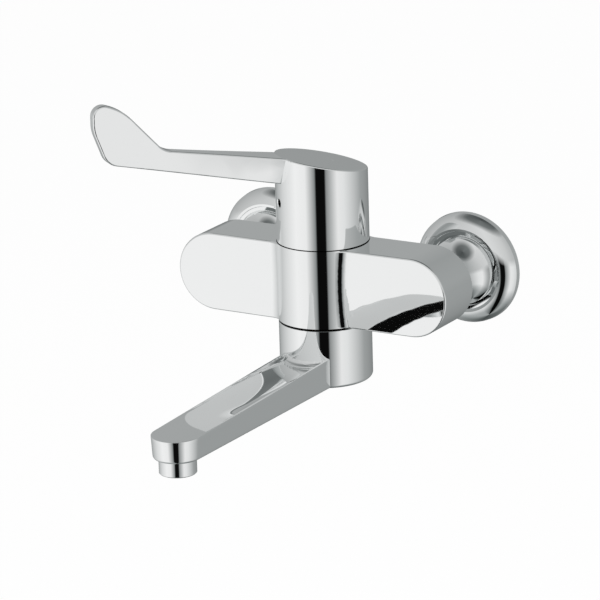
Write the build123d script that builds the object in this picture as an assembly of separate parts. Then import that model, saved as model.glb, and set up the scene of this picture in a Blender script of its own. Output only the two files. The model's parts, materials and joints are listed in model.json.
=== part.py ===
from build123d import *
import math
import os

# Wall mounted elbow lever mixer. Millimetres, Z up.
# The origin lies midway between the two wall inlets, on the face of the wall.
# The wall is the plane Y = 0 and the tap stands out from it towards -Y.

# Whole tap
inlet_centres = 150.0
axis_to_wall = 64.0
seam_gap = 0.6
running_gap = 0.08
fit_gap = 0.2
overrun = 2.0

# Body casting: a bar with round ends and a barrel on the tap axis
bar_radius = 26.6
bar_front = 19.7
bar_crown = 1.1
bar_back = 19.5
barrel_radius = 31.3
barrel_blend = 12.0
bar_edge = 1.2
boss_radius = 22.2
boss_top = 34.0
well_floor = 15.8
well_gap = 0.3
inlet_thread_radius = 13.2
inlet_thread_length = 8.0
inlet_bore_radius = 8.0
water_way_radius = 4.5
water_way_drop = 9.0
port_radius = 3.2
port_offset = 8.0

# Ceramic cartridge, stacked on the tap axis
cartridge_floor = -1.2
cartridge_radius = 17.5
cartridge_wall = 1.8
cartridge_top = 29.5
seal_height = 1.2
mixing_pocket_radius = 7.6
seal_width = 1.3
base_height = 4.0
disc_height = 5.0
moving_disc_radius = 12.6
moving_disc_height = 5.0
mixing_pocket_depth = 2.5
carrier_top = 29.2
carrier_pocket_half = 3.3
carrier_neck_radius = 9.0
turret_bottom = 30.0
turret_top = 38.5
turret_radius = 15.4
turret_slot_half = 7.6
pivot_height = 35.0
pivot_radius = 1.5
pivot_half_length = 14.0
spindle_half = 4.0
spindle_top = 63.0
spindle_foot = 27.0
spindle_foot_radius = 3.0
spindle_neck_half = 2.4
nut_radius = 19.4
nut_top = 37.0
nut_key_width = 3.0
dome_wall = 1.4
dome_shoulder = 39.0
dome_top = 45.0
dome_hole_radius = 11.5

# Lever casting: cap, arm and upright paddle
lever_azimuth = -38.0
cap_radius = 30.8
cap_wall = 3.4
cap_top_on_axis = 81.4
cap_slope = 0.2123
cap_edge = 0.9
socket_radius = 8.6
socket_bottom = 51.0
grub_height = 55.2
grub_radius = 2.5
grub_length = 8.0
grub_key_half = 1.25
grub_tunnel_radius = 2.9
grub_tunnel_wall = 2.2
grub_countersink = 0.7
arm_edge = 1.1
arm_low = 66.0
lever_reach = 158.0
paddle_high = 136.8
paddle_half = 3.5
# Side view, as shares of the lever's reach and of its height above the arm's low line
arm_foot_share = 0.0325
# Corners of the outline: reach, height, then the rounding as a share of the lever's reach
lever_corner_shares = [
    (0.7000, 0.5028, 0.101),
    (0.8734, 0.9304, 0.228),
    (1.0000, 1.0310, 0.046),
    (1.0015, 0.7613, 0.150),
    (0.9475, 0.4294, 0.076),
]
# Width: reach share, then half width low down and at the paddle's top in paddle half widths
arm_width_shares = [
    (0.120, 0.94, 9.60),
    (0.285, 1.10, 5.30),
    (0.475, 1.02, 2.66),
    (0.660, 0.98, 1.45),
    (1.040, 0.97, 1.00),
]

# Swivel spout: collar, dished arm and tip
collar_radius = 31.0
collar_edge = 3.0
spout_bottom = -68.0
spout_reach = 190.0
spout_root_half = 17.6
spout_tip_radius = 16.6
spout_tip_foot_radius = 15.7
spout_root_top = -47.4
spout_tip_top = -52.2
rail_width = 1.4
dish_depth = 10.4
# Reach share along the spout, then depth and lift as shares of the dish depth
dish_shares = [
    (0.10, 1.25, 0.0),
    (0.18, 0.98, 0.0),
    (0.26, 0.57, 0.0),
    (0.34, 0.29, 0.0),
    (0.44, 0.16, 0.0),
    (0.61, 0.095, 0.0),
    (0.76, 0.08, 0.0),
    (0.88, 0.05, 0.0),
    (0.99, 0.02, 0.03),
]
# Cross section of the dish: half width at the foot of its walls, and the sag of its floor
dish_foot_share = 0.965
dish_sag_share = 0.10
spout_foot_edge = 2.4
spout_way_half = 9.0
spout_way_bottom = -64.4
spout_way_top = -60.9
spout_chamber_radius = 17.0
spout_floor_top = -63.0
nipple_radius = 15.5
nipple_thread_radius = 12.0
nipple_thread_length = 6.6
nipple_bore_radius = 8.0
nipple_bottom = -60.0
nipple_port_radius = 3.5
nipple_port_height = -46.0
glide_ring_height = 3.0
glide_ring_tops = (-29.0, -56.5)
o_ring_height = 2.4
o_ring_tops = (-34.0, -52.5)
o_ring_seat_radius = 15.1
retainer_head_radius = 13.4
retainer_head_height = 2.0
retainer_shank_radius = 9.6
retainer_thread_length = 9.0
retainer_key_half = 5.0
retainer_key_depth = 4.0

# Aerator under the tip
aerator_radius = 12.2
aerator_bottom = -78.0
aerator_thread_radius = 11.4
aerator_thread_top = -60.5
aerator_wall = 1.6
aerator_core_recess = 1.2
aerator_slot_radius = 1.1
aerator_washer_height = 1.4

# Wall unions, nuts and rosettes, measured as depth from the wall
union_thread_radius = 10.48
union_thread_length = 17.0
union_bore_radius = 7.0
bell_radius = 22.6
bell_front = 13.2
bell_back = 7.0
bell_flare_share = 0.27
neck_radius = 14.0
neck_depth = 27.0
union_end = 30.4
union_tail_radius = 9.8
union_flange_radius = 12.4
union_flange_height = 2.0
nut_across_flats = 30.0
nut_height = 12.6
nut_lip = 2.2
nut_corner_share = 1.13
nut_chamfer = 1.0
union_washer_height = 1.6
rosette_radius = 37.9
rosette_rim = 3.6
rosette_lip_radius = 27.0
rosette_depth = 11.4
rosette_hole_radius = 22.8
rosette_step_depth = 10.4
rosette_sheet = 1.6
rosette_seal_width = 2.4
rosette_seal_height = 1.6
filter_length = 9.0
filter_wall = 1.2

body_top = bar_radius
body_bottom = -bar_radius
cap_bottom = body_top + seam_gap
collar_top = body_bottom - seam_gap
disc_floor = cartridge_floor + seal_height + base_height
moving_floor = disc_floor + disc_height + running_gap
carrier_floor = moving_floor + moving_disc_height
inlet_offset = inlet_centres / 2
arm_start = cap_radius - cap_wall - cap_edge - fit_gap


def on_axis(shape):
    return Pos(0, -axis_to_wall, 0) * shape


def along_lever(shape):
    return on_axis(Rot(0, 0, lever_azimuth - 90) * shape)


def along_spout(shape):
    return on_axis(Rot(0, 0, -90) * shape)


def on_wall(shape, side):
    return Pos(side * inlet_offset, 0, 0) * Rot(90, 0, 0) * shape


def rod(radius, bottom, top):
    return Pos(0, 0, (bottom + top) / 2) * Cylinder(radius, top - bottom)


def ring(outer, inner, bottom, top):
    return rod(outer, bottom, top) - rod(inner, bottom - overrun, top + overrun)


def bar(half_x, half_y, bottom, top):
    return Pos(0, 0, (bottom + top) / 2) * Box(2 * half_x, 2 * half_y, top - bottom)


def cross_rod(radius, start, end, height):
    # A round bar that lies along X
    middle = (start + end) / 2
    return Pos(middle, 0, height) * Rot(0, 90, 0) * Cylinder(radius, end - start)


def turned(points):
    # A closed outline of radius and height, turned about Z
    outline = make_face(Plane.XZ * Polyline(points, close=True))
    return revolve(outline, Axis.Z)


def taken_out(shape, *cuts):
    for cut in cuts:
        shape = shape - cut
    return shape


def crowned_block():
    # The front of the wings bulges a little both ways: a shallow arc turned about a far axis
    half = inlet_offset + bar_radius + overrun
    rim = bar_crown - bar_front
    front = ThreePointArc((-half, rim), (0, -bar_front), (half, rim))
    back = Polyline((half, rim), (half, bar_back), (-half, bar_back), (-half, rim))
    far = (bar_radius ** 2 + bar_crown ** 2) / (2 * bar_crown)
    return revolve(make_face(front + back), Axis((0, far - bar_front, 0), (1, 0, 0)))


def body_shell():
    slot = SlotCenterToCenter(inlet_centres, 2 * bar_radius)
    wings = Pos(0, bar_back, 0) * Rot(90, 0, 0) * extrude(slot, bar_front + bar_back)
    barrel = Cylinder(barrel_radius, 2 * bar_radius)
    shell = (wings & crowned_block()) + barrel
    corners = ShapeList()
    for edge in shell.edges():
        size = edge.bounding_box().size
        if size.Z > bar_radius and size.X < bar_edge and abs(edge.center().X) < barrel_radius:
            corners.append(edge)
    shell = fillet(corners, barrel_blend)
    rims = ShapeList()
    for face in shell.faces():
        centre = face.center()
        if abs(centre.X) > barrel_radius and abs(face.normal_at(centre).Y) > abs(face.normal_at(centre).Z):
            rims += [edge for edge in face.edges() if edge.bounding_box().size.X > bar_edge]
    return fillet(rims, bar_edge) + barrel


def inlet_way(side):
    # Back connection, then a bore along the wing, then a port up to the cartridge
    start = side * port_offset
    end = side * inlet_offset
    low, high = min(start, end), max(start, end)
    bore = rod(inlet_bore_radius, 0, bar_back + inlet_thread_length + overrun)
    back = Pos(end, 0, 0) * Rot(-90, 0, 0) * bore
    drop = Pos(end, 0, 0) * rod(water_way_radius, -water_way_drop, 0)
    along = cross_rod(water_way_radius, low, high, -water_way_drop)
    rise = Pos(start, 0, 0) * rod(port_radius, -water_way_drop, cartridge_floor + overrun)
    return back + drop + along + rise


def mixer_body():
    well_radius = cap_radius + well_gap
    body = body_shell() - rod(well_radius, well_floor, body_top + overrun)
    body = body + rod(boss_radius, well_floor - overrun, boss_top)
    for side in (-1, 1):
        stub = rod(inlet_thread_radius, bar_back - overrun, bar_back + inlet_thread_length)
        body = body + Pos(side * inlet_offset, 0, 0) * Rot(-90, 0, 0) * stub
    body = taken_out(
        body,
        rod(cartridge_radius + running_gap, cartridge_floor, boss_top + overrun),
        rod(nut_radius + running_gap, cartridge_top, boss_top + overrun),
        rod(nipple_thread_radius, body_bottom - overrun, body_bottom + nipple_thread_length),
        Pos(0, -port_offset, 0) * rod(port_radius, body_bottom, cartridge_floor + overrun),
        inlet_way(-1),
        inlet_way(1),
    )
    return on_axis(body)


def port_places(height):
    return [Pos(side * port_offset, 0, height) for side in (-1, 1)] + [Pos(0, -port_offset, height)]


def cartridge_seals():
    seal = ring(port_radius + seal_width, port_radius, 0, seal_height)
    return on_axis(Compound(children=[place * seal for place in port_places(cartridge_floor)]))


def ported(shape, bottom, top):
    for place in port_places(0):
        shape = shape - place * rod(port_radius, bottom - overrun, top + overrun)
    return shape


def cartridge_housing():
    bottom = cartridge_floor + seal_height
    cup = rod(cartridge_radius, bottom, cartridge_top)
    cup = cup - rod(cartridge_radius - cartridge_wall, disc_floor, cartridge_top + overrun)
    return on_axis(ported(cup, bottom, disc_floor))


def ceramic_disc_fixed():
    radius = cartridge_radius - cartridge_wall - running_gap
    return on_axis(ported(rod(radius, disc_floor, disc_floor + disc_height), disc_floor, carrier_floor))


def ceramic_disc_moving():
    disc = rod(moving_disc_radius, moving_floor, carrier_floor)
    pocket = rod(mixing_pocket_radius, moving_floor - overrun, moving_floor + mixing_pocket_depth)
    return along_lever(disc - pocket)


def disc_carrier():
    carrier = rod(moving_disc_radius, carrier_floor, carrier_floor + disc_height)
    carrier = carrier + rod(carrier_neck_radius, carrier_floor, carrier_top)
    pocket = bar(carrier_pocket_half, spindle_neck_half + spindle_half, spindle_foot - 2 * spindle_foot_radius,
                 carrier_top + overrun)
    return along_lever(carrier - pocket)


def turret():
    block = rod(turret_radius, turret_bottom, turret_top)
    slot = bar(turret_slot_half, spindle_half + running_gap, turret_bottom - overrun, turret_top + overrun)
    hole = Rot(0, 0, 90) * cross_rod(pivot_radius, -turret_radius, turret_radius, pivot_height)
    return along_lever(block - slot - hole)


def pivot_pin():
    pin = cross_rod(pivot_radius, -pivot_half_length, pivot_half_length, pivot_height)
    return along_lever(Rot(0, 0, 90) * pin)


def spindle():
    shank_bottom = pivot_height - spindle_half
    shank = bar(spindle_half, spindle_half, shank_bottom, spindle_top)
    neck = bar(spindle_neck_half, spindle_half, spindle_foot, shank_bottom + overrun)
    foot = Rot(0, 0, 90) * cross_rod(spindle_foot_radius, -spindle_half, spindle_half, spindle_foot)
    hole_reach = spindle_half + overrun
    hole = Rot(0, 0, 90) * cross_rod(pivot_radius + running_gap, -hole_reach, hole_reach, pivot_height)
    return along_lever(shank + neck + foot - hole)


def cartridge_nut():
    nut = ring(nut_radius, turret_radius + fit_gap, cartridge_top, nut_top)
    keys = [Rot(0, 0, turn) * Pos(nut_radius, 0, 0) for turn in (0, 90, 180, 270)]
    for key in keys:
        nut = nut - key * bar(nut_key_width / 2, nut_key_width / 2, boss_top, nut_top + overrun)
    return on_axis(nut)


def dome_cover():
    inner = boss_radius - dome_wall
    outline = [
        (boss_radius, boss_top),
        (boss_radius, dome_shoulder),
        (boss_radius - dome_wall * 2, dome_top - dome_wall),
        (dome_hole_radius + dome_wall, dome_top),
        (dome_hole_radius, dome_top),
        (dome_hole_radius, dome_top - dome_wall),
        (inner - dome_wall * 2, dome_top - dome_wall * 2),
        (inner, dome_shoulder),
        (inner, boss_top),
    ]
    return on_axis(turned(outline))


def cap_top(reach):
    return cap_top_on_axis + cap_slope * reach


def arm_sides():
    # The arm's width: cross sections from the cap out to the end of the paddle
    stations = []
    for reach_share, low_share, high_share in arm_width_shares:
        low_half = low_share * paddle_half
        high_half = high_share * paddle_half
        outline = Polyline(
            (-high_half, paddle_high),
            (-low_half, arm_low),
            (low_half, arm_low),
            (high_half, paddle_high),
            close=True,
        )
        plane = Plane(origin=(reach_share * lever_reach, 0, 0), x_dir=(0, 1, 0), z_dir=(1, 0, 0))
        stations.append(make_face(plane * outline))
    return loft(stations)


def arm_profile():
    # The side view: the top runs on from the cap's sloping top, then sweeps up into the paddle
    start = (arm_start, cap_top(arm_start))
    joint = (cap_radius, cap_top(cap_radius))
    foot = (arm_start, arm_low + arm_foot_share * (paddle_high - arm_low))
    corners = []
    radii = []
    for reach_share, height_share, radius_share in lever_corner_shares:
        height = arm_low + height_share * (paddle_high - arm_low)
        corners.append((reach_share * lever_reach, height))
        radii.append(radius_share * lever_reach)
    rim = FilletPolyline(joint, *corners, foot, radius=radii)
    root = Polyline(foot, start, joint)
    return make_face(Plane.XZ * (rim + root))


def slab(profile, half):
    # An outline drawn in the XZ plane, made solid to the same distance on both sides
    return Pos(0, -half, 0) * extrude(profile, 2 * half, dir=(0, 1, 0))


def lever_arm():
    arm = slab(arm_profile(), cap_radius) & arm_sides()
    rims = []
    for edge in arm.edges():
        box = edge.bounding_box()
        if box.max.X > arm_start + arm_edge and box.size.X > running_gap:
            rims.append(edge)
    return fillet(rims, arm_edge)


def lever_cap():
    outline = Polyline(
        (-cap_radius, cap_bottom),
        (cap_radius, cap_bottom),
        (cap_radius, cap_top(cap_radius)),
        (-cap_radius, cap_top(-cap_radius)),
        close=True,
    )
    wedge = slab(make_face(Plane.XZ * outline), cap_radius + overrun)
    cap = wedge & rod(cap_radius, cap_bottom - overrun, paddle_high)
    top_rim = cap.edges().sort_by(Axis.Z)[-1]
    return fillet(top_rim, cap_edge)


def cap_hollow():
    inner = cap_radius - cap_wall
    outline = Polyline(
        (-cap_radius, cap_bottom - overrun),
        (cap_radius, cap_bottom - overrun),
        (cap_radius, cap_top(cap_radius) - cap_wall),
        (-cap_radius, cap_top(-cap_radius) - cap_wall),
        close=True,
    )
    wedge = slab(make_face(Plane.XZ * outline), cap_radius)
    return wedge & rod(inner, cap_bottom - overrun, paddle_high)


def countersink():
    # The small cone around the mouth of the grub screw hole
    mouth = grub_tunnel_radius + grub_countersink
    cone = Cone(grub_tunnel_radius, mouth + overrun, grub_countersink + overrun)
    return Pos(cap_radius + (overrun - grub_countersink) / 2, 0, grub_height) * Rot(0, 90, 0) * cone


def lever_handle():
    lever = lever_cap() + lever_arm()
    lever = lever - cap_hollow()
    inner = cap_radius - cap_wall
    tunnel_radius = grub_tunnel_radius + grub_tunnel_wall
    core = rod(socket_radius, socket_bottom, cap_top(0) - cap_wall / 2)
    tunnel = cross_rod(tunnel_radius, 0, inner + cap_wall / 2, grub_height)
    lever = lever + core + tunnel
    lever = taken_out(
        lever,
        bar(spindle_half + running_gap, spindle_half + running_gap, socket_bottom - overrun, spindle_top),
        cross_rod(grub_radius, 0, spindle_half + grub_length + overrun, grub_height),
        cross_rod(grub_tunnel_radius, spindle_half + grub_length, cap_radius + overrun, grub_height),
        countersink(),
    )
    return along_lever(lever)


def lever_grub_screw():
    screw = cross_rod(grub_radius, spindle_half + running_gap, spindle_half + grub_length, grub_height)
    hexagon = extrude(RegularPolygon(grub_key_half, 6, major_radius=False), grub_length / 2)
    key = Pos(spindle_half + grub_length / 2, 0, grub_height) * Rot(0, 90, 0) * hexagon
    return along_lever(screw - key)


def spout_top(reach):
    share = (reach - collar_radius) / (spout_reach - collar_radius)
    return spout_root_top + share * (spout_tip_top - spout_root_top)


def spout_half(reach):
    return spout_root_half + (spout_tip_radius - spout_root_half) * reach / spout_reach


def tongue(tip_radius, height):
    # Plan outline of the spout: straight tapering sides and a round nose
    lean = math.asin((spout_root_half - tip_radius) / spout_reach)
    shoulder = (spout_reach + tip_radius * math.sin(lean), tip_radius * math.cos(lean))
    mirrored = (shoulder[0], -shoulder[1])
    nose = ThreePointArc(shoulder, (spout_reach + tip_radius, 0), mirrored)
    sides = Polyline(mirrored, (0, -spout_root_half), (0, spout_root_half), shoulder)
    return make_face(Plane.XY.offset(height) * (nose + sides))


def dish():
    # The scoop in the top of the spout, deepest at the collar
    stations = []
    for reach_share, depth_share, lift_share in dish_shares:
        reach = reach_share * spout_reach
        half = spout_half(reach) - rail_width
        rim = spout_top(reach) + lift_share * dish_depth
        floor = rim - depth_share * dish_depth
        ceiling = rim + dish_depth
        foot = dish_foot_share * half
        edge = floor + dish_sag_share * (rim - floor)
        bowl = Line((-half, rim), (-foot, edge)) + ThreePointArc((-foot, edge), (0, floor), (foot, edge))
        bowl = bowl + Line((foot, edge), (half, rim))
        lid = Polyline((half, rim), (half, ceiling), (-half, ceiling), (-half, rim))
        plane = Plane(origin=(reach, 0, 0), x_dir=(0, 1, 0), z_dir=(1, 0, 0))
        stations.append(make_face(plane * (bowl + lid)))
    return loft(stations)


def spout_arm():
    top = spout_root_top + dish_depth / 2
    lean = (spout_tip_radius - spout_tip_foot_radius) / (spout_tip_top - spout_bottom)
    top_radius = spout_tip_foot_radius + lean * (top - spout_bottom)
    arm = loft([tongue(spout_tip_foot_radius, spout_bottom), tongue(top_radius, top)])
    end = spout_reach + 2 * spout_tip_radius
    outline = Polyline(
        (-overrun, spout_bottom),
        (end, spout_bottom),
        (end, spout_top(end)),
        (-overrun, spout_top(-overrun)),
        close=True,
    )
    side = slab(make_face(Plane.XZ * outline), 2 * spout_root_half)
    arm = arm & side
    foot = ShapeList()
    for edge in arm.edges().group_by(Axis.Z)[0]:
        if edge.bounding_box().max.X > collar_radius:
            foot.append(edge)
    return fillet(foot, spout_foot_edge) - dish()


def spout():
    collar = rod(collar_radius, spout_bottom, collar_top)
    collar = fillet(collar.edges().group_by(Axis.Z)[0], collar_edge)
    body = collar + spout_arm()
    way_length = spout_reach - spout_chamber_radius
    way = Pos((spout_reach + spout_chamber_radius) / 2, 0, 0)
    way = way * bar(way_length / 2, spout_way_half, spout_way_bottom, spout_way_top)
    aerator_bore = rod(aerator_thread_radius + running_gap, spout_bottom - overrun, aerator_thread_top)
    head_gap = retainer_head_radius + fit_gap
    head_top = spout_bottom + retainer_head_height + running_gap
    body = taken_out(
        body,
        rod(spout_chamber_radius, spout_floor_top, collar_top + overrun),
        rod(retainer_shank_radius + fit_gap, spout_bottom - overrun, spout_floor_top + overrun),
        rod(head_gap, spout_bottom - overrun, head_top),
        way,
        Pos(spout_reach, 0, 0) * aerator_bore,
    )
    return along_spout(body)


def spout_nipple():
    nipple = rod(nipple_radius, nipple_bottom, body_bottom)
    nipple = nipple + rod(nipple_thread_radius - running_gap, body_bottom, body_bottom + nipple_thread_length)
    nipple = nipple - rod(nipple_bore_radius, nipple_bottom - overrun, body_top)
    reach = nipple_radius + overrun
    for turn in (0, 90):
        nipple = nipple - Rot(0, 0, turn) * cross_rod(nipple_port_radius, -reach, reach, nipple_port_height)
    for top in o_ring_tops:
        nipple = nipple - ring(collar_radius, o_ring_seat_radius, top - o_ring_height, top)
    return on_axis(nipple)


def nipple_o_rings():
    outer = spout_chamber_radius - running_gap
    rings = []
    for top in o_ring_tops:
        o_ring = ring(outer, o_ring_seat_radius, top - o_ring_height, top)
        rings.append(chamfer(o_ring.edges().filter_by(GeomType.CIRCLE), o_ring_height / 4))
    return on_axis(Compound(children=rings))


def glide_rings():
    outer = spout_chamber_radius - running_gap
    rings = [ring(outer, nipple_radius, top - glide_ring_height, top) for top in glide_ring_tops]
    return on_axis(Compound(children=rings))


def spout_retaining_screw():
    head_top = spout_bottom + retainer_head_height
    screw = rod(retainer_head_radius, spout_bottom, head_top)
    screw = screw + rod(retainer_shank_radius, head_top, nipple_bottom)
    thread_top = nipple_bottom + retainer_thread_length
    screw = screw + rod(nipple_bore_radius - running_gap, nipple_bottom, thread_top)
    hexagon = extrude(RegularPolygon(retainer_key_half, 6, major_radius=False), retainer_key_depth)
    return on_axis(screw - Pos(0, 0, spout_bottom) * hexagon)


def aerator_housing():
    thread_bottom = spout_bottom - seam_gap
    sleeve = rod(aerator_radius, aerator_bottom, thread_bottom)
    sleeve = chamfer(sleeve.edges().group_by(Axis.Z)[0], seam_gap)
    sleeve = sleeve + rod(aerator_thread_radius, thread_bottom, aerator_thread_top - aerator_washer_height)
    sleeve = sleeve - rod(aerator_radius - aerator_wall, aerator_bottom - overrun, aerator_thread_top)
    return along_spout(Pos(spout_reach, 0, 0) * sleeve)


def aerator_insert():
    core = rod(
        aerator_radius - aerator_wall - running_gap,
        aerator_bottom + aerator_core_recess,
        aerator_thread_top - aerator_washer_height,
    )
    depth = 2 * aerator_core_recess
    hole = rod(aerator_slot_radius, aerator_bottom, aerator_bottom + aerator_core_recess + depth)
    spacing = 3 * aerator_slot_radius
    core = core - hole
    for row, count in ((1, 6), (2, 12)):
        core = core - [place * hole for place in PolarLocations(row * spacing, count)]
    return along_spout(Pos(spout_reach, 0, 0) * core)


def aerator_washer():
    washer = ring(
        aerator_thread_radius,
        aerator_radius - 2 * aerator_wall,
        aerator_thread_top - aerator_washer_height,
        aerator_thread_top,
    )
    return along_spout(Pos(spout_reach, 0, 0) * washer)


def wall_union(side):
    waist = Line((neck_radius, neck_depth), (neck_radius, union_end))
    shoulder = union_end + nut_lip + running_gap
    face = axis_to_wall - bar_back - inlet_thread_length - union_washer_height
    flange_start = face - union_flange_height
    flare = ThreePointArc(
        (neck_radius, neck_depth),
        (neck_radius + bell_flare_share * (bell_radius - neck_radius), (neck_depth + bell_front) / 2),
        (bell_radius, bell_front),
    )
    rest = Polyline(
        (bell_radius, bell_front),
        (bell_radius, bell_back),
        (union_thread_radius, bell_back),
        (union_thread_radius, -union_thread_length),
        (union_bore_radius, -union_thread_length),
        (union_bore_radius, face),
        (union_flange_radius, face),
        (union_flange_radius, flange_start),
        (union_tail_radius, flange_start),
        (union_tail_radius, union_end),
        (neck_radius, union_end),
    )
    outline = make_face(Plane.XZ * (waist + flare + rest))
    return on_wall(revolve(outline, Axis.Z), side)


def union_nut(side):
    bottom = union_end + fit_gap
    hexagon = extrude(RegularPolygon(nut_across_flats / 2, 6, major_radius=False), nut_height)
    crown = rod(nut_across_flats / 2 * nut_corner_share, 0, nut_height)
    crown = chamfer(crown.edges().filter_by(GeomType.CIRCLE), nut_chamfer)
    nut = (hexagon & crown) - rod(union_tail_radius + fit_gap, -overrun, nut_height)
    nut = nut - rod(inlet_thread_radius + running_gap, nut_lip, nut_height + overrun)
    return on_wall(Pos(0, 0, bottom) * nut, side)


def union_washer(side):
    top = axis_to_wall - bar_back - inlet_thread_length
    return on_wall(ring(union_flange_radius, inlet_bore_radius, top - union_washer_height, top), side)


def inlet_filter(side):
    start = axis_to_wall - bar_back - inlet_thread_length
    cup = ring(inlet_bore_radius - running_gap, inlet_bore_radius - filter_wall, start, start + filter_length)
    mesh = rod(inlet_bore_radius - filter_wall, start + filter_length - filter_wall, start + filter_length)
    return on_wall(cup + mesh, side)


def rosette(side):
    lip = rosette_depth
    step = rosette_step_depth
    crest = rosette_lip_radius + rosette_sheet
    outside = ThreePointArc(
        (rosette_radius - rosette_sheet / 4, rosette_rim),
        ((rosette_radius + crest + rosette_sheet) / 2, (rosette_rim + lip + rosette_sheet) / 2),
        (crest, lip),
    )
    rest = Polyline(
        (crest, lip),
        (rosette_lip_radius, lip - rosette_sheet / 4),
        (rosette_lip_radius - rosette_sheet / 4, step),
        (rosette_hole_radius + rosette_sheet, step),
        (rosette_hole_radius, step - rosette_sheet),
        (rosette_hole_radius, step - 2 * rosette_sheet),
        (rosette_lip_radius, step - 2 * rosette_sheet),
        (rosette_radius - 2 * rosette_sheet, rosette_rim - rosette_sheet),
        (rosette_radius - rosette_sheet, 0),
        (rosette_radius, 0),
        (rosette_radius - rosette_sheet / 4, rosette_rim),
    )
    outline = make_face(Plane.XZ * (outside + rest))
    return on_wall(revolve(outline, Axis.Z), side)


def rosette_seal(side):
    outer = rosette_radius - 2 * rosette_sheet
    return on_wall(ring(outer, outer - rosette_seal_width, 0, rosette_seal_height), side)


def save(name, shape):
    shape.label = name
    export_step(shape, os.path.join("parts", name + ".step"))


os.makedirs("parts", exist_ok=True)
single_pieces = [
    mixer_body,
    cartridge_seals,
    cartridge_housing,
    ceramic_disc_fixed,
    ceramic_disc_moving,
    disc_carrier,
    turret,
    pivot_pin,
    spindle,
    cartridge_nut,
    dome_cover,
    lever_handle,
    lever_grub_screw,
    spout,
    spout_nipple,
    nipple_o_rings,
    glide_rings,
    spout_retaining_screw,
    aerator_housing,
    aerator_insert,
    aerator_washer,
]
wall_pieces = [wall_union, union_nut, union_washer, inlet_filter, rosette, rosette_seal]
for piece in single_pieces:
    save(piece.__name__, piece())
for side, word in ((-1, "left"), (1, "right")):
    for piece in wall_pieces:
        save(piece.__name__ + "_" + word, piece(side))
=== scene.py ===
import json
import math

import bmesh
import bpy
from mathutils import Matrix, Vector


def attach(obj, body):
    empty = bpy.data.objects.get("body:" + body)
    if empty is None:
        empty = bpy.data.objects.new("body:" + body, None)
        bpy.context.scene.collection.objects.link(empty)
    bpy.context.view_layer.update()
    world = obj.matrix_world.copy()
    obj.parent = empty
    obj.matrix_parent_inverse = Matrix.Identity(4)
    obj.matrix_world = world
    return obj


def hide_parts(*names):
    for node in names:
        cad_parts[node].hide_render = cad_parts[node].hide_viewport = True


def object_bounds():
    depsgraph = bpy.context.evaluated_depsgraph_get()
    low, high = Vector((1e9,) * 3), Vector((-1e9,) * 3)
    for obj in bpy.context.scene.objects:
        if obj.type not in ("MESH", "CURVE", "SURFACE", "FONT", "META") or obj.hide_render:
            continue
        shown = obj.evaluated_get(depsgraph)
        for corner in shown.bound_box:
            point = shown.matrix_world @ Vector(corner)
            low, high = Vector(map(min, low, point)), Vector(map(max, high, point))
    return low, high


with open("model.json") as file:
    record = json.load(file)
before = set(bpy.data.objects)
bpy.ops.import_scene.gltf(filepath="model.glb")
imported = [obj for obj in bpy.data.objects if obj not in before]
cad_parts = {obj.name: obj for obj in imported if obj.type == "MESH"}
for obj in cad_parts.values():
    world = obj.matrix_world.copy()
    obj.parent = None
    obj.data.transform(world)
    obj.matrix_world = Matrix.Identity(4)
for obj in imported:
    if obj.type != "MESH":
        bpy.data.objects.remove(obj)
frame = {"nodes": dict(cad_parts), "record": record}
cad_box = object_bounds()
nodes = frame["nodes"]

MM_PER_METRE = 1000

# Camera, as fitted to the outline of the tap. The tap axis stands in front of the wall.
AXIS_TO_WALL = 0.064
CAMERA_PLACE = Vector((1.444038, -2.466368 - AXIS_TO_WALL, 0.836240))
CAMERA_TURN = math.radians(30.6795)
CAMERA_DROP = math.radians(16.5857)
CAMERA_ROLL = math.radians(-1.67326)
FOCAL_PIXELS = 4483.035
PICTURE_PIXELS = 600
SENSOR = 36.0

# Floor: how far it lies under the tap, half its side, its colour and how much of it glows for the eye
FLOOR_DROP = 0.42
FLOOR_HALF = 4.0
FLOOR_COLOUR = "#FCFCFC"
FLOOR_GLOW = 0.92
LAMP_HEIGHT = 1.6
LAMP_SIZE = 1.4
LAMP_WATTS = 9.0

# Studio that the polished metal mirrors, in rows of panels from the top down. Each row: its upper edge as
# the height of the direction and half the blur there, then the panels as turns in degrees from straight out
# of the wall, to the right, each with a grey level.
ROWS = [
    # Above eye level: pale ahead, greyer behind
    (1.0, 0.0, [(-180, 160), (-110, 180), (-30, 210), (5, 225), (60, 210), (125, 170), (180, 160)]),
    # Level with the tap: white ahead and to the left, a crisp black flag on the right, grey behind
    (0.04, 0.10, [(-180, 145), (-150, 115), (-120, 175), (-75, 225), (-40, 250), (-12, 245), (12, 140),
                  (15, 12), (37, 12), (40, 145), (52, 190), (68, 240), (85, 235), (140, 165), (180, 145)]),
]
# Dimming near the floor and the ceiling: the height of the direction with the share of light kept
ENDS = [(-1.0, "#A6AAAA"), (-0.90, "#B4B8B8"), (-0.66, "#FFFFFF"), (0.74, "#FFFFFF"), (0.92, "#8A8E8E"),
        (1.0, "#7E8282")]
WHITE = "#FFFFFF"
# Light on matt surfaces
FILL = "#E6E6E6"
# Red is this much lower than green and blue in a middle grey panel, and less in lighter and darker ones
COOLNESS = 4
MIDDLE_LEVEL = 128

# Noise: the values it mostly takes, its detail, and the height of the relief it makes, in metres
NOISE_SPAN = (0.3, 0.7)
METAL_DETAIL = 3.0
METAL_RELIEF = 0.0002
MOTTLE_SPAN = (0.35, 0.65)
MOTTLE_DETAIL = 4.0
MOTTLE_RELIEF = 0.0001

# Chrome plate: colour, roughness, its spread, size of its patches in millimetres, strength of the relief
POLISH = ("#F2F3F3", 0.030, 0.008, 40.0, 0.006)
# Painted shade: near black and dull where a joint gap lets the eye into a part, standing in for the shade
# inside the gap
PAINTED_GAP_SHADE = "#1C1B19"
PAINTED_GAP_SHADE_ROUGHNESS = 0.6
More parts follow.
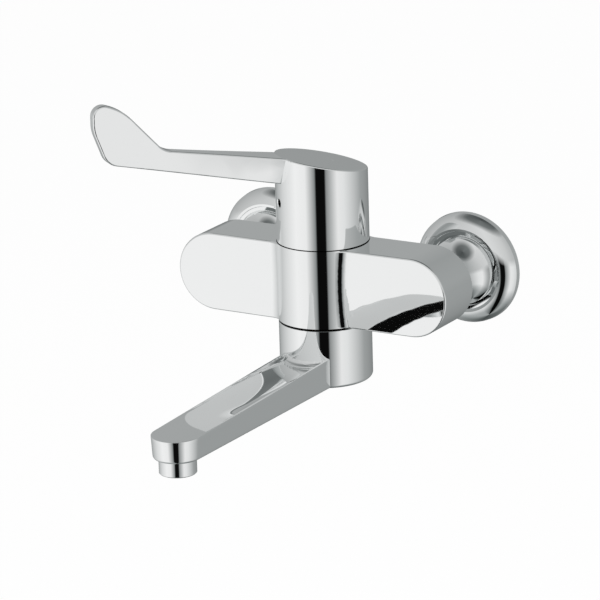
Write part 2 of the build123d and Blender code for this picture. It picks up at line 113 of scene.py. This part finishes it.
# Drum round the tap axis that gets this painted gap shade: radius, lowest and highest point, in metres
GAP_SHADE_DRUMS = {
    "mixer_body": (0.03108, 0.0150, 0.0290),
    "lever_handle": (0.0275, 0.0270, 0.0600),
    "spout": (0.03085, -0.0284, -0.0280),
}

# Swivel spout, in millimetres. Heights are from the line of the wall inlets.
SPOUT_BOTTOM = -68.0
SPOUT_ROOT_TOP = -47.4
SPOUT_TIP_TOP = -52.2
# Along the spout from the tap axis: where the arm starts, inside the collar, and the middle of its nose
SPOUT_START = 22.0
SPOUT_REACH = 190.0
# Half the width at the axis, radius of the nose at the top and at the foot, and rounding of the lower edge
SPOUT_ROOT_HALF = 17.6
SPOUT_TIP_RADIUS = 16.56
SPOUT_FOOT_RADIUS = 15.7
SPOUT_FOOT_EDGE = 2.4
# Rails along the scoop: their width and the rounding of their outer edge
RAIL_WIDTH = 1.4
RAIL_EDGE = 0.3
# Scoop: depth at the foot of its walls by the collar, the length over which that falls off, the sag of its
# floor, the stretch over which it fades out, and the share of half its width that the walls take
SCOOP_DEPTH = 3.6
SCOOP_FALL = 45.0
SCOOP_SAG = 2.0
SCOOP_FADE = (120.0, 180.0)
SCOOP_WALL_SHARE = 0.05
# Hollow corner where the floor turns up to the collar: its radius, and how far it runs into the collar
SCOOP_CORNER = 6.0
SCOOP_TUCK = 0.5
# Collar: radius, top, and rounding of its lower and upper edges
COLLAR_RADIUS = 31.0
COLLAR_TOP = -28.2
COLLAR_FOOT_EDGE = 3.0
COLLAR_EDGE = 0.15
# Chamber in the collar, and the seat and hole of the retaining screw as (radius, height) and radius
CHAMBER_RADIUS = 17.0
CHAMBER_FLOOR = -63.0
SCREW_SEAT = (13.5, -65.98)
SCREW_HOLE = 10.2
# Steps of the mesh. Points bunch towards the collar and rings towards the walls of the scoop.
SIDE_STEPS = 90
NOSE_STEPS = 72
FOOT_STEPS = 8
WALL_STEPS = 6
EDGE_STEPS = 4
SCOOP_STEPS = 60
COLLAR_STEPS = 240
BUNCHING = 1.8
SHARP_TURN = math.radians(28)


def linear(code):
    """An sRGB hex colour as linear red, green, blue, alpha."""
    channels = [int(code[i:i + 2], 16) / 255 for i in (1, 3, 5)]
    curve = [c / 12.92 if c <= 0.04045 else ((c + 0.055) / 1.055) ** 2.4 for c in channels]
    return (*curve, 1.0)


def add_node(tree, kind, inputs=None, **settings):
    """One node with its settings. Inputs go by name or number, each a value or another node's output."""
    node = tree.nodes.new(kind)
    for name, value in settings.items():
        setattr(node, name, value)
    for key, value in (inputs or {}).items():
        if isinstance(value, bpy.types.NodeSocket):
            tree.links.new(value, node.inputs[key])
        else:
            node.inputs[key].default_value = value
    return node


def calculate(tree, operation, first, second):
    """A sum on two values or outputs."""
    return add_node(tree, "ShaderNodeMath", {0: first, 1: second}, operation=operation).outputs["Value"]


def map_range(tree, value, low, high, start, end):
    """An output stretched from low..high to start..end."""
    ends = {"Value": value, "From Min": low, "From Max": high, "To Min": start, "To Max": end}
    return add_node(tree, "ShaderNodeMapRange", ends).outputs["Result"]


def mix_colours(tree, factor, first, second, blend="MIX"):
    """Two colours mixed. Inputs 0, 6 and 7 of the node are the factor and the two colours."""
    sides = {0: factor, 6: first, 7: second}
    return add_node(tree, "ShaderNodeMix", sides, data_type="RGBA", blend_type=blend).outputs[2]


def ramp_of(tree, factor, stops):
    """A colour ramp with the given stops, as (place, linear colour)."""
    ramp = add_node(tree, "ShaderNodeValToRGB", {"Fac": factor})
    elements = ramp.color_ramp.elements
    while len(elements) > 1:
        elements.remove(elements[-1])
    elements[0].position, elements[0].color = stops[0]
    for place, colour in stops[1:]:
        elements.new(place).color = colour
    return ramp.outputs["Color"]


def new_material(name):
    """An empty material and its node tree."""
    material = bpy.data.materials.new(name)
    material.use_nodes = True
    material.node_tree.nodes.clear()
    return material, material.node_tree


def grain_of(tree, grain_mm, detail, bump, relief_height):
    """Object place, noise in patches of a real size, and the slight relief that the noise makes."""
    place = add_node(tree, "ShaderNodeTexCoord").outputs["Object"]
    grain = {"Vector": place, "Scale": MM_PER_METRE / grain_mm, "Detail": detail}
    noise = add_node(tree, "ShaderNodeTexNoise", grain).outputs["Fac"]
    relief = add_node(tree, "ShaderNodeBump", {"Height": noise, "Strength": bump, "Distance": relief_height})
    return place, noise, relief.outputs["Normal"]


def finish_surface(tree, inputs):
    """The shader with its inputs, joined to the material's output."""
    shader = add_node(tree, "ShaderNodeBsdfPrincipled", inputs)
    add_node(tree, "ShaderNodeOutputMaterial", {"Surface": shader.outputs["BSDF"]})


def metal(name, colour, roughness, spread, grain_mm, bump, hidden=None):
    """A metal whose gloss varies a little in patches. Within the hidden drum it is painted dark and dull,
    standing in for the shade in a joint gap.
    """
    material, tree = new_material(name)
    place, noise, normal = grain_of(tree, grain_mm, METAL_DETAIL, bump, METAL_RELIEF)
    tint = linear(colour)
    gloss = map_range(tree, noise, *NOISE_SPAN, roughness - spread, roughness + spread)
    if hidden:
        # Painted shade: inside the drum the metal turns near black and dull, as the shade in the joint gap
        in_gap_shade = gap_shade_mask(tree, place, *hidden)
        tint = mix_colours(tree, in_gap_shade, tint, linear(PAINTED_GAP_SHADE))
        # Inputs 0, 2 and 3 of the node are the factor and the two values
        gloss = add_node(tree, "ShaderNodeMix", {0: in_gap_shade, 2: gloss, 3: PAINTED_GAP_SHADE_ROUGHNESS}).outputs[0]
    finish_surface(tree, {"Base Color": tint, "Metallic": 1.0, "Roughness": gloss, "Normal": normal})
    return material


def gap_shade_mask(tree, place, radius, low, high):
    """One inside a drum round the tap axis, between two heights, all in metres; zero elsewhere."""
    parts = add_node(tree, "ShaderNodeSeparateXYZ", {"Vector": place}).outputs
    ahead = calculate(tree, "ADD", parts["Y"], AXIS_TO_WALL)
    flat = add_node(tree, "ShaderNodeCombineXYZ", {"X": parts["X"], "Y": ahead}).outputs["Vector"]
    away = add_node(tree, "ShaderNodeVectorMath", {0: flat}, operation="LENGTH").outputs["Value"]
    near = calculate(tree, "LESS_THAN", away, radius)
    above = calculate(tree, "GREATER_THAN", parts["Z"], low)
    below = calculate(tree, "LESS_THAN", parts["Z"], high)
    return calculate(tree, "MULTIPLY", near, calculate(tree, "MULTIPLY", above, below))


def plain(name, colour, second, roughness, grain_mm, bump):
    """A moulded, lapped or rubbery surface with a faint mottle of two near colours."""
    material, tree = new_material(name)
    _, noise, normal = grain_of(tree, grain_mm, MOTTLE_DETAIL, bump, MOTTLE_RELIEF)
    tint = ramp_of(tree, noise, list(zip(MOTTLE_SPAN, (linear(colour), linear(second)))))
    finish_surface(tree, {"Base Color": tint, "Roughness": roughness, "Normal": normal})
    return material


# By the record's material slots. Metals: colour, roughness, its spread, size of the patches in millimetres
# and strength of the relief. The others: two colours, roughness, size of the mottle, strength of the relief.
FINISHES = {
    # Bright chrome plate on polished brass: a clear mirror with a faint cool tint
    "polished_chrome": metal("polished_chrome_plate", *POLISH),
    # Chrome on pressed sheet: a softer mirror
    "dome_chrome": metal("satin_chrome_plate", "#D8DADB", 0.16, 0.03, 8.0, 0.05),
    # Turned brass, left bare: warm, with a soft sheen
    "brass": metal("turned_brass", "#C9A866", 0.24, 0.05, 2.0, 0.10),
    # Machined stainless steel: grey with a soft sheen
    "steel": metal("machined_steel", "#A9ABAD", 0.28, 0.05, 2.0, 0.10),
    # Nitrile rubber: near black and dull
    "rubber": plain("nitrile_rubber", "#161616", "#1E1E1E", 0.62, 1.5, 0.15),
    # Glass filled plastic of the cartridge: dark grey, slightly speckled
    "cartridge_plastic": plain("glass_filled_polyamide", "#4A4E52", "#555A5E", 0.42, 0.8, 0.10),
    # Acetal: milky white and slightly waxy
    "white_plastic": plain("white_acetal", "#E4E4E0", "#DCDCD8", 0.34, 1.0, 0.06),
    # Lapped alumina ceramic: very smooth off white
    "ceramic": plain("lapped_alumina", "#EFEDE6", "#F4F2EC", 0.12, 3.0, 0.02),
}


def dress_frame():
    """Each CAD node gets its finish. Three plated parts get painted shade, dark and dull, inside the joint
    gaps.
    """
    for entry in frame["record"]["subparts"]:
        name = entry["node"]
        finish = FINISHES[entry["material_slot"]]
        if name in GAP_SHADE_DRUMS:
            finish = metal(f"chrome_plated_painted_gap_shade_{name}", *POLISH, GAP_SHADE_DRUMS[name])
        nodes[name].data.materials.clear()
        nodes[name].data.materials.append(finish)


def smooth_step(low, high, value):
    """A share from 0 to 1 that starts and ends gently."""
    share = min(max((value - low) / (high - low), 0.0), 1.0)
    return share * share * (3 - 2 * share)


def quarter_turns():
    """The steps of a rounded lower edge, as angles."""
    return [math.pi / 2 * step / FOOT_STEPS for step in range(FOOT_STEPS + 1)]


def rim_height(along):
    """Height of the rails, which fall a little towards the nose."""
    share = (along - COLLAR_RADIUS) / (SPOUT_REACH - COLLAR_RADIUS)
    return SPOUT_ROOT_TOP + share * (SPOUT_TIP_TOP - SPOUT_ROOT_TOP)


def scoop_depth(along, across, across_share):
    """Depth under the rails: steep walls, a floor that sags a little, and a hollow corner at the collar."""
    kept = 1 - smooth_step(*SCOOP_FADE, along)
    wall = SCOOP_DEPTH * math.exp((COLLAR_RADIUS - along) / SCOOP_FALL)
    rise = math.sin(math.pi / 2 * min(1.0, (1 - across_share) / SCOOP_WALL_SHARE))
    depth = kept * (wall * rise + SCOOP_SAG * (1 - across_share ** 2))
    near = SCOOP_CORNER - max(0.0, math.hypot(across, along) - COLLAR_RADIUS + SCOOP_TUCK)
    if near > 0:
        depth = depth - (SCOOP_CORNER - math.sqrt(SCOOP_CORNER ** 2 - near ** 2))
    return max(depth, 0.0)


def arm_ring(root_half, tip_radius):
    """Plan of the arm at one level: right side, round nose, left side, as (across, along)."""
    right = []
    for step in range(SIDE_STEPS):
        share = (step / SIDE_STEPS) ** BUNCHING
        along = SPOUT_START + share * (SPOUT_REACH - SPOUT_START)
        right.append((root_half + (tip_radius - root_half) * along / SPOUT_REACH, along))
    for step in range(NOSE_STEPS // 2):
        turn = math.pi * step / NOSE_STEPS
        right.append((tip_radius * math.cos(turn), SPOUT_REACH + tip_radius * math.sin(turn)))
    front = [(0.0, SPOUT_REACH + tip_radius)]
    return right + front + [(-across, along) for across, along in reversed(right)]


def outer_ring(inset, nose_height, height_of):
    """A ring on the outside of the arm, whose nose widens from the foot to the top."""
    share = (nose_height - SPOUT_BOTTOM) / (SPOUT_TIP_TOP - SPOUT_BOTTOM)
    tip = SPOUT_FOOT_RADIUS + share * (SPOUT_TIP_RADIUS - SPOUT_FOOT_RADIUS)
    plan = arm_ring(SPOUT_ROOT_HALF - inset, tip - inset)
    return [(across, along, height_of(along)) for across, along in plan]


def arm_rings():
    """Rings of points from the flat underside, round the foot and up, over the rails, into the scoop."""
    rings = []
    for turn in quarter_turns():
        height = SPOUT_BOTTOM + SPOUT_FOOT_EDGE * (1 - math.cos(turn))
        rings.append(outer_ring(SPOUT_FOOT_EDGE * (1 - math.sin(turn)), height, lambda along: height))
    foot = SPOUT_BOTTOM + SPOUT_FOOT_EDGE
    for step in range(1, WALL_STEPS):
        share = step / WALL_STEPS
        rings.append(outer_ring(0.0, foot + share * (SPOUT_TIP_TOP - foot),
                                lambda along: foot + share * (rim_height(along) - RAIL_EDGE - foot)))
    for step in range(EDGE_STEPS + 1):
        turn = math.pi / 2 * step / EDGE_STEPS
        drop = RAIL_EDGE * (1 - math.sin(turn))
        rings.append(outer_ring(RAIL_EDGE * (1 - math.cos(turn)), SPOUT_TIP_TOP,
                                lambda along: rim_height(along) - drop))
    for step in range(SCOOP_STEPS):
        share = 1 - (step / SCOOP_STEPS) ** BUNCHING
        plan = arm_ring(share * (SPOUT_ROOT_HALF - RAIL_WIDTH), share * (SPOUT_TIP_RADIUS - RAIL_WIDTH))
        rings.append([(x, y, rim_height(y) - scoop_depth(y, x, share)) for x, y in plan])
    return rings


def collar_outline():
    """Section of the collar as (radius, height): up the chamber, over, down the outside, and to the screw."""
    outline = [(CHAMBER_RADIUS, CHAMBER_FLOOR), (CHAMBER_RADIUS, COLLAR_TOP),
               (COLLAR_RADIUS - COLLAR_EDGE, COLLAR_TOP), (COLLAR_RADIUS, COLLAR_TOP - COLLAR_EDGE)]
    middle = SPOUT_BOTTOM + COLLAR_FOOT_EDGE
    for turn in quarter_turns():
        outline.append((COLLAR_RADIUS - COLLAR_FOOT_EDGE * (1 - math.cos(turn)),
                        middle - COLLAR_FOOT_EDGE * math.sin(turn)))
    seat_radius, seat_height = SCREW_SEAT
    return outline + [(seat_radius, SPOUT_BOTTOM), (seat_radius, seat_height), (SCREW_HOLE, seat_height),
                      (SCREW_HOLE, CHAMBER_FLOOR)]


def join_rings(work, lower, upper):
    """A band of faces between two closed rings."""
    for i in range(len(lower)):
        j = (i + 1) % len(lower)
        work.faces.new((lower[i], lower[j], upper[j], upper[i]))


def close_ring(work, ring):
    """A flat strip from side to side across a ring, up to the point of its nose."""
    last = len(ring) - 1
    middle = last // 2
    for i in range(middle - 1):
        work.faces.new((ring[i], ring[i + 1], ring[last - i - 1], ring[last - i]))
    work.faces.new((ring[middle - 1], ring[middle], ring[middle + 1]))


def add_arm(work):
    """The arm of the spout, closed by the underside and by the middle of the scoop."""
    rings = [[work.verts.new((across / MM_PER_METRE, -AXIS_TO_WALL - along / MM_PER_METRE,
                              height / MM_PER_METRE)) for across, along, height in ring]
             for ring in arm_rings()]
    for lower, upper in zip(rings[:-1], rings[1:]):
        join_rings(work, lower, upper)
    close_ring(work, rings[0])
    close_ring(work, rings[-1])


def add_collar(work):
    """The collar of the spout, turned round the tap axis."""
    turns = [2 * math.pi * step / COLLAR_STEPS for step in range(COLLAR_STEPS)]
    hoops = []
    for radius, height in collar_outline():
        reach = radius / MM_PER_METRE
        hoops.append([work.verts.new((reach * math.cos(turn), reach * math.sin(turn) - AXIS_TO_WALL,
                                      height / MM_PER_METRE)) for turn in turns])
    for lower, upper in zip(hoops, hoops[1:] + hoops[:1]):
        join_rings(work, lower, upper)


def make_spout():
    """The spout's casting with a finer scoop than the solid has: an arm that runs into a turned collar."""
    work = bmesh.new()
    add_arm(work)
    add_collar(work)
    bmesh.ops.recalc_face_normals(work, faces=work.faces)
    for face in work.faces:
        face.smooth = True
    for edge in work.edges:
        edge.smooth = edge.calc_face_angle(0.0) < SHARP_TURN
    mesh = bpy.data.meshes.new("spout_casting")
    work.to_mesh(mesh)
    work.free()
    mesh.materials.append(nodes["spout"].data.materials[0])
    casting = bpy.data.objects.new("spout_casting", mesh)
    bpy.context.scene.collection.objects.link(casting)
    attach(casting, "spout")
    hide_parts("spout")


def make_camera():
    """The camera of the photograph: turned, tipped down, and rolled a little."""
    a, e, r = CAMERA_TURN, CAMERA_DROP, CAMERA_ROLL
    ahead = Vector((-math.sin(a) * math.cos(e), math.cos(a) * math.cos(e), -math.sin(e)))
    side = Vector((math.cos(a), math.sin(a), 0))
    over = side.cross(ahead)
    right = side * math.cos(r) + over * math.sin(r)
    up = over * math.cos(r) - side * math.sin(r)
    data = bpy.data.cameras.new("photo_camera")
    data.sensor_width = SENSOR
    data.lens = SENSOR * FOCAL_PIXELS / PICTURE_PIXELS
    camera = bpy.data.objects.new("photo_camera", data)
    axes = Matrix((right, up, -ahead)).transposed().to_4x4()
    camera.matrix_world = Matrix.Translation(CAMERA_PLACE) @ axes
    bpy.context.scene.collection.objects.link(camera)
    bpy.context.scene.camera = camera


def panel_stops(panels):
    """Panels as ramp stops: the turn as a share of the whole round, and a faintly cool grey."""
    stops = []
    for turned, level in panels:
        red = level - COOLNESS * min(level, 255 - level) / MIDDLE_LEVEL
        code = "#%02X%02X%02X" % (round(red), level, level)
        stops.append(((turned + 180) / 360, linear(code)))
    return stops


def make_world():
    """White room for the eye, an even light on matt surfaces, and the studio for the polished metal."""
    world = bpy.data.worlds.new("studio")
    bpy.context.scene.world = world
    world.use_nodes = True
    tree = world.node_tree
    tree.nodes.clear()
    place = add_node(tree, "ShaderNodeTexCoord").outputs["Generated"]
    parts = add_node(tree, "ShaderNodeSeparateXYZ", {"Vector": place}).outputs
    turn = calculate(tree, "ARCTAN2", parts["X"], calculate(tree, "MULTIPLY", parts["Y"], -1.0))
    share = map_range(tree, turn, -math.pi, math.pi, 0.0, 1.0)
    room = ramp_of(tree, share, panel_stops(ROWS[0][2]))
    for edge, blur, panels in ROWS[1:]:
        row = ramp_of(tree, share, panel_stops(panels))
        under = map_range(tree, parts["Z"], edge - blur, edge + blur, 1.0, 0.0)
        room = mix_colours(tree, under, room, row)
    height = map_range(tree, parts["Z"], -1.0, 1.0, 0.0, 1.0)
    kept = ramp_of(tree, height, [((rise + 1) / 2, linear(code)) for rise, code in ENDS])
    room = mix_colours(tree, 1.0, room, kept, "MULTIPLY")
    rays = add_node(tree, "ShaderNodeLightPath").outputs
    seen = mix_colours(tree, rays["Is Camera Ray"], room, linear(WHITE))
    light = mix_colours(tree, rays["Is Diffuse Ray"], seen, linear(FILL))
    background = add_node(tree, "ShaderNodeBackground", {"Color": light, "Strength": 1.0})
    add_node(tree, "ShaderNodeOutputWorld", {"Surface": background.outputs["Background"]})


def floor_material():
    """Matt and pale, and glowing for the eye so that it stays near white under the shadow."""
    material, tree = new_material("pale_floor")
    matt = add_node(tree, "ShaderNodeBsdfDiffuse", {"Color": linear(FLOOR_COLOUR)}).outputs["BSDF"]
    glow = add_node(tree, "ShaderNodeEmission", {"Color": linear(WHITE), "Strength": 1.0}).outputs["Emission"]
    bright = add_node(tree, "ShaderNodeMixShader", {0: FLOOR_GLOW, 1: matt, 2: glow}).outputs["Shader"]
    rays = add_node(tree, "ShaderNodeLightPath").outputs
    seen = add_node(tree, "ShaderNodeMixShader", {0: rays["Is Camera Ray"], 1: matt, 2: bright})
    add_node(tree, "ShaderNodeOutputMaterial", {"Surface": seen.outputs["Shader"]})
    return material


def make_room():
    """Floor under the tap and a soft box above it, both hidden from the polished metal."""
    bottom = cad_box[0][2] - FLOOR_DROP
    half = FLOOR_HALF
    corners = [(-half, -half, bottom), (half, -half, bottom), (half, half, bottom), (-half, half, bottom)]
    mesh = bpy.data.meshes.new("studio_floor")
    mesh.from_pydata(corners, [], [(0, 1, 2, 3)])
    mesh.materials.append(floor_material())
    floor = bpy.data.objects.new("studio_floor", mesh)
    floor.visible_glossy = False
    bpy.context.scene.collection.objects.link(floor)
    lamp = bpy.data.lights.new("soft_box", "AREA")
    lamp.size = LAMP_SIZE
    lamp.energy = LAMP_WATTS
    box = bpy.data.objects.new("soft_box", lamp)
    box.location = (0, -AXIS_TO_WALL, LAMP_HEIGHT)
    box.visible_glossy = False
    bpy.context.scene.collection.objects.link(box)


dress_frame()
make_spout()
make_camera()
make_world()
make_room()

bpy.context.scene.view_settings.view_transform = "Standard"
